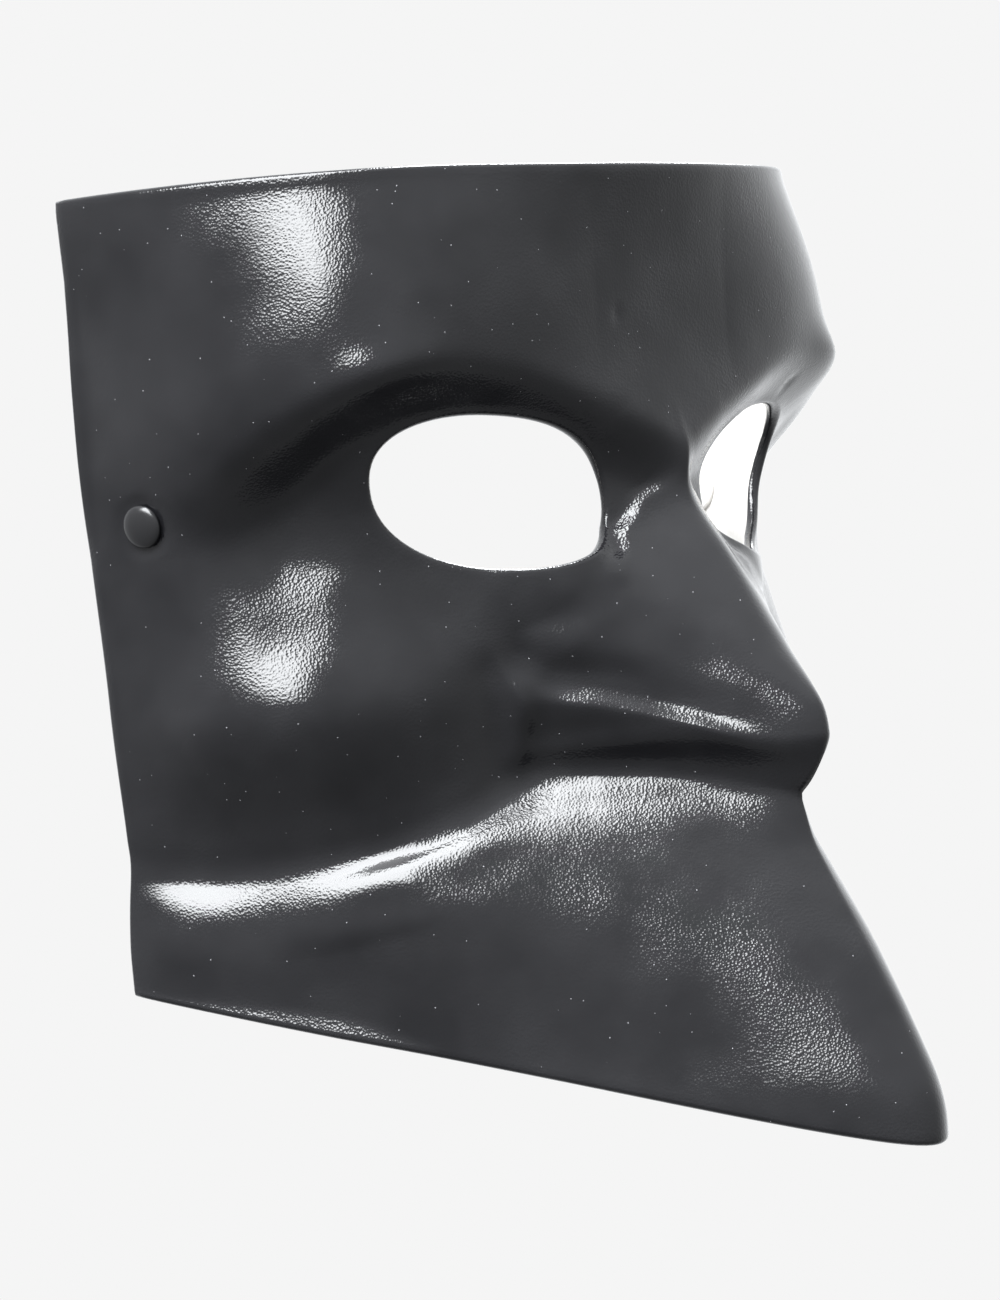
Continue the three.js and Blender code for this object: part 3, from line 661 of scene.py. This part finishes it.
def texture(nodes, links, kind, size, coordinates):
    """A texture node with features about size millimetres wide, fixed to the object."""
    node = nodes.new(kind)
    node.inputs["Scale"].default_value = 1 / (size * MM)
    links.new(coordinates.outputs["Object"], node.inputs["Vector"])
    return node


def map_range(nodes, links, value, before, after, interpolation="LINEAR"):
    """Carries a value from one range to another and holds it at the ends."""
    node = nodes.new("ShaderNodeMapRange")
    node.interpolation_type = interpolation
    for name, number in zip(("From Min", "From Max", "To Min", "To Max"), (*before, *after)):
        node.inputs[name].default_value = number
    links.new(value, node.inputs["Value"])
    return node.outputs["Result"]


def two_colours(nodes, links, value, dark, light, between=(0.0, 1.0)):
    """A colour that goes from dark to light as a value crosses a range."""
    node = nodes.new("ShaderNodeValToRGB")
    for element, position, colour in zip(node.color_ramp.elements, between, (dark, light)):
        element.position = position
        element.color = colour
    links.new(value, node.inputs["Fac"])
    return node.outputs["Color"]


def pebbled(nodes, links, coordinates, shader, cell, strength, depth):
    """A finely pebbled skin: rounded cells with soft valleys, uneven from place to place."""
    cells = texture(nodes, links, "ShaderNodeTexVoronoi", cell, coordinates)
    cells.feature = "SMOOTH_F1"
    cells.inputs["Smoothness"].default_value = GRAIN_SOFTNESS
    warp = texture(nodes, links, "ShaderNodeTexNoise", WARP_SIZE, coordinates)
    warp.inputs["Detail"].default_value = WARP_DETAIL
    patch = texture(nodes, links, "ShaderNodeTexNoise", PATCH_SIZE, coordinates)
    patch.inputs["Detail"].default_value = PATCH_DETAIL
    both = nodes.new("ShaderNodeMix")
    both.data_type = "FLOAT"
    both.inputs["Factor"].default_value = GRAIN_NOISE_SHARE
    links.new(cells.outputs["Distance"], both.inputs["A"])
    links.new(warp.outputs["Fac"], both.inputs["B"])
    bump = nodes.new("ShaderNodeBump")
    bump.inputs["Distance"].default_value = depth * MM
    links.new(both.outputs["Result"], bump.inputs["Height"])
    grain = map_range(nodes, links, patch.outputs["Fac"], PATCH_RANGE, (LEAST_GRAIN * strength, strength))
    links.new(grain, bump.inputs["Strength"])
    links.new(bump.outputs["Normal"], shader.inputs["Normal"])
    return warp.outputs["Fac"], patch.outputs["Fac"]


def glint_specked(nodes, links, coordinates, colour):
    """A colour with painted glints: pale specks that stand in for the highlights of tiny bumps, few and
    smaller than a third of a millimetre.
    """
    specks = texture(nodes, links, "ShaderNodeTexVoronoi", SPECK_SPACING, coordinates)
    edge = SPECK_SIZE / SPECK_SPACING
    speck = map_range(nodes, links, specks.outputs["Distance"], (edge, edge * SPECK_CORE), (0.0, 1.0))
    mix = nodes.new("ShaderNodeMix")
    mix.data_type = "RGBA"
    mix.inputs["B"].default_value = GLINT_COLOUR
    links.new(speck, mix.inputs["Factor"])
    links.new(colour, mix.inputs["A"])
    return mix.outputs["Result"]


def black_paint():
    """Satin black paint on moulded paper."""
    material, nodes, links = node_material("black_paint")
    shader = nodes["Principled BSDF"]
    coordinates = nodes.new("ShaderNodeTexCoord")
    warp, patch = pebbled(nodes, links, coordinates, shader, cell=0.5, strength=1.0, depth=0.07)
    colour = two_colours(nodes, links, patch, PAINT_DARK, PAINT_LIGHT, PAINT_RANGE)
    # The black is sprinkled with pale specks of painted glint
    links.new(glint_specked(nodes, links, coordinates, colour), shader.inputs["Base Color"])
    links.new(map_range(nodes, links, warp, PAINT_RANGE, PAINT_ROUGHNESS), shader.inputs["Roughness"])
    return material


def bare_paper():
    """The unpainted paper of the inside."""
    material, nodes, links = node_material("bare_paper")
    shader = nodes["Principled BSDF"]
    shader.inputs["Roughness"].default_value = PAPER_ROUGHNESS
    coordinates = nodes.new("ShaderNodeTexCoord")
    _, patch = pebbled(nodes, links, coordinates, shader, cell=1.6, strength=0.8, depth=0.25)
    links.new(two_colours(nodes, links, patch, PAPER_DARK, PAPER_LIGHT), shader.inputs["Base Color"])
    return material


def rivet_paint():
    """The same black on metal, smoother."""
    material, nodes, links = node_material("rivet_paint")
    shader = nodes["Principled BSDF"]
    shader.inputs["Base Color"].default_value = RIVET_COLOUR
    coordinates = nodes.new("ShaderNodeTexCoord")
    pebbled(nodes, links, coordinates, shader, cell=0.5, strength=0.25, depth=0.05)
    shader.inputs["Roughness"].default_value = RIVET_ROUGHNESS
    return material


def rivet_profile():
    """The rivet's outline as radius and height, from foot to dome, and how many points are the foot's."""
    under = -SEAT_DEPTH + RIVET_CLEARANCE
    foot = -WALL + SEAT_DEPTH - RIVET_CLEARANCE
    foot_end = foot - RIVET_FOOT_THICKNESS
    head = RIVET_HEAD / 2
    foot_part = [(0.0, foot_end), (RIVET_FOOT / 2 - RIVET_FOOT_CHAMFER, foot_end),
                 (RIVET_FOOT / 2, foot_end + RIVET_FOOT_CHAMFER), (RIVET_FOOT / 2, foot)]
    head_part = [(RIVET_SHANK / 2, foot), (RIVET_SHANK / 2, under),
                 (head - RIVET_HEAD_CHAMFER, under), (head, under + RIVET_HEAD_CHAMFER)]
    for i in range(DOME_STEPS):
        turn = math.pi / 2 * i / DOME_STEPS
        rise = (RIVET_DOME - RIVET_EDGE) * math.sin(turn)
        head_part.append((head * math.cos(turn), under + RIVET_EDGE + rise))
    head_part.append((0.0, under + RIVET_DOME))
    return foot_part + head_part, len(foot_part)


def rivet_object(name, side, head_material, foot_material):
    """A domed rivet, turned about the outward normal at its place on the skin."""
    profile, foot_rings = rivet_profile()
    spins = np.arange(RIVET_SIDES) * 2 * math.pi / RIVET_SIDES
    points = np.concatenate([
        np.stack([radius * np.cos(spins), radius * np.sin(spins), np.full(RIVET_SIDES, height)], 1)
        for radius, height in profile
    ])
    quads = []
    materials_of_quads = []
    for ring in range(len(profile) - 1):
        materials_of_quads += [1 if ring < foot_rings else 0] * RIVET_SIDES
        here, above = ring * RIVET_SIDES, (ring + 1) * RIVET_SIDES
        for i in range(RIVET_SIDES):
            j = (i + 1) % RIVET_SIDES
            quads.append([here + i, here + j, above + j, above + i])
    normal = skin_normal(np.float64(side * RIVET_ANGLE), np.float64(RIVET_LEVEL))
    centre = skin_point(np.float64(side * RIVET_ANGLE), np.float64(RIVET_LEVEL)) + [0, EYE_LINE_Y, 0]
    turn = Vector((0, 0, 1)).rotation_difference(Vector(normal)).to_matrix()
    points = points @ np.array(turn).T + centre
    obj = make_mesh(name, points * MM, np.array(quads), materials_of_quads, [head_material, foot_material])
    weld = obj.modifiers.new("weld", "WELD")
    weld.merge_threshold = WELD_DISTANCE
    return obj


paint = black_paint()
points, painted, bare = shell_mesh()
quads = np.concatenate([painted, bare])
slots = np.concatenate([np.zeros(len(painted)), np.ones(len(bare))])
paper = bare_paper()
mask = make_mesh("mask_skin", points, quads, slots, [paint, paper])
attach(mask, "root")
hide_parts("mask_shell")

metal = rivet_paint()
for side_name, side in (("right", -1), ("left", 1)):
    rivet = rivet_object("cord_rivet_" + side_name, side, metal, paper)
    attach(rivet, "root")
    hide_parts("rivet_" + side_name)

# The camera stands where the photograph was taken from, turned round the lying mask
CAMERA_AZIMUTH = 47.5
CAMERA_ROLL = 4.85
CAMERA_DISTANCE = 1.2
CAMERA_TARGET = Vector((12.95, -34.93 + EYE_LINE_Y, 15.8)) * MM
MM_PER_PIXEL = 0.205
PHOTO_HEIGHT = 1300
SENSOR = 36.0
CAMERA_REACH = 20.0

azimuth = math.radians(CAMERA_AZIMUTH)
roll = math.radians(CAMERA_ROLL)
toward_camera = Vector((-math.sin(azimuth), 0, math.cos(azimuth)))
level_right = Vector((math.cos(azimuth), 0, math.sin(azimuth)))
up_face = Vector((0, 1, 0))
image_right = level_right * math.cos(roll) - up_face * math.sin(roll)
image_up = level_right * math.sin(roll) + up_face * math.cos(roll)

camera_data = bpy.data.cameras.new("camera")
camera = bpy.data.objects.new("camera", camera_data)
bpy.context.scene.collection.objects.link(camera)
camera_data.sensor_width = SENSOR
camera_data.lens = SENSOR * CAMERA_DISTANCE / (PHOTO_HEIGHT * MM_PER_PIXEL * MM)
camera_data.clip_end = CAMERA_REACH
camera.location = CAMERA_TARGET + toward_camera * CAMERA_DISTANCE
turn = np.array([image_right, image_up, toward_camera]).T
camera.rotation_euler = Matrix(turn.tolist()).to_euler()
bpy.context.scene.camera = camera

# Soft studio light from all round, with one large softbox up on the left of the picture. Its
# directions are counted in degrees, right and up in the picture, from the way to the camera.
KEY_RADIANCE = 22.0
KEY_LEFT = -59.0
KEY_RIGHT = -12.0
KEY_LEAN = 0.03
KEY_SIDE_EDGE = 0.05
KEY_LOW = 25.0
KEY_HIGH = 83.0
KEY_EDGE = 5.0
TOP_RADIANCE = 0.3
TOP_LOW = 42.0
TOP_HIGH = 54.0
FILL_BELOW = 0.3
FILL_ABOVE = 1.02
BACK_RADIANCE = 0.7
BACK_START = 0.1
LIGHT_COLOUR = (0.96, 0.98, 1, 1)


def studio_world():
    """The light from all round, drawn as how bright each direction is."""
    world = bpy.data.worlds.new("studio")
    bpy.context.scene.world = world
    world.use_nodes = True
    nodes, links = world.node_tree.nodes, world.node_tree.links
    direction = nodes.new("ShaderNodeTexCoord").outputs["Generated"]

    def math_node(operation, first, second=None):
        node = nodes.new("ShaderNodeMath")
        node.operation = operation
        for socket, value in zip(node.inputs, (first, second)):
            if isinstance(value, float):
                socket.default_value = value
            elif value is not None:
                links.new(value, socket)
        return node.outputs["Value"]

    def share_along(axis):
        node = nodes.new("ShaderNodeVectorMath")
        node.operation = "DOT_PRODUCT"
        node.inputs[1].default_value = axis
        links.new(direction, node.inputs[0])
        return node.outputs["Value"]

    def rise(value, start, end, low, high):
        return map_range(nodes, links, value, (start, end), (low, high), "SMOOTHSTEP")

    def edge(value, at, low, high):
        return rise(value, math.radians(at - KEY_EDGE), math.radians(at + KEY_EDGE), low, high)

    toward = share_along(toward_camera)
    upward = share_along(image_up)
    across = math_node("ARCTAN2", share_along(image_right), toward)
    up = math_node("ARCSINE", upward)
    turn = math.radians(KEY_RIGHT)
    side = share_along(image_right * math.cos(turn) - toward_camera * math.sin(turn) - image_up * KEY_LEAN)
    left_of_side = rise(side, -KEY_SIDE_EDGE, KEY_SIDE_EDGE, 1, 0)
    key = math_node("MULTIPLY", edge(across, KEY_LEFT, 0, KEY_RADIANCE), left_of_side)
    key = math_node("MULTIPLY", key, edge(up, KEY_LOW, 0, 1))
    key = math_node("MULTIPLY", key, edge(up, KEY_HIGH, 1, 0))
    top = rise(up, math.radians(TOP_LOW), math.radians(TOP_HIGH), 0, TOP_RADIANCE)
    back = rise(toward, BACK_START, -1.0, 0, BACK_RADIANCE)
    fill = rise(upward, -1.0, 1.0, FILL_BELOW, FILL_ABOVE)
    total = math_node("ADD", math_node("ADD", key, top), math_node("ADD", back, fill))
    links.new(total, nodes["Background"].inputs["Strength"])
    nodes["Background"].inputs["Color"].default_value = LIGHT_COLOUR


studio_world()

# The floor is a light table: pale and lit from within, so that it is even and shows no shadow
FLOOR_HALF = 3.0
FLOOR_RADIANCE = 0.913


def studio_floor():
    """A wide square under the mask, which isn't mirrored in it and casts no shadow."""
    corners = FLOOR_HALF * np.array([[-1, -1, 0], [1, -1, 0], [1, 1, 0], [-1, 1, 0]])
    material, nodes, _ = node_material("pale_floor")
    shader = nodes["Principled BSDF"]
    shader.inputs["Base Color"].default_value = (0, 0, 0, 1)
    shader.inputs["Roughness"].default_value = 1.0
    shader.inputs["Specular IOR Level"].default_value = 0.0
    shader.inputs["Emission Color"].default_value = (1, 1, 1, 1)
    shader.inputs["Emission Strength"].default_value = FLOOR_RADIANCE
    floor = make_mesh("floor", corners, np.array([[0, 1, 2, 3]]), [0], [material])
    floor.visible_glossy = False
    floor.visible_shadow = False
    return floor


studio_floor()

bpy.context.scene.view_settings.view_transform = "Standard"
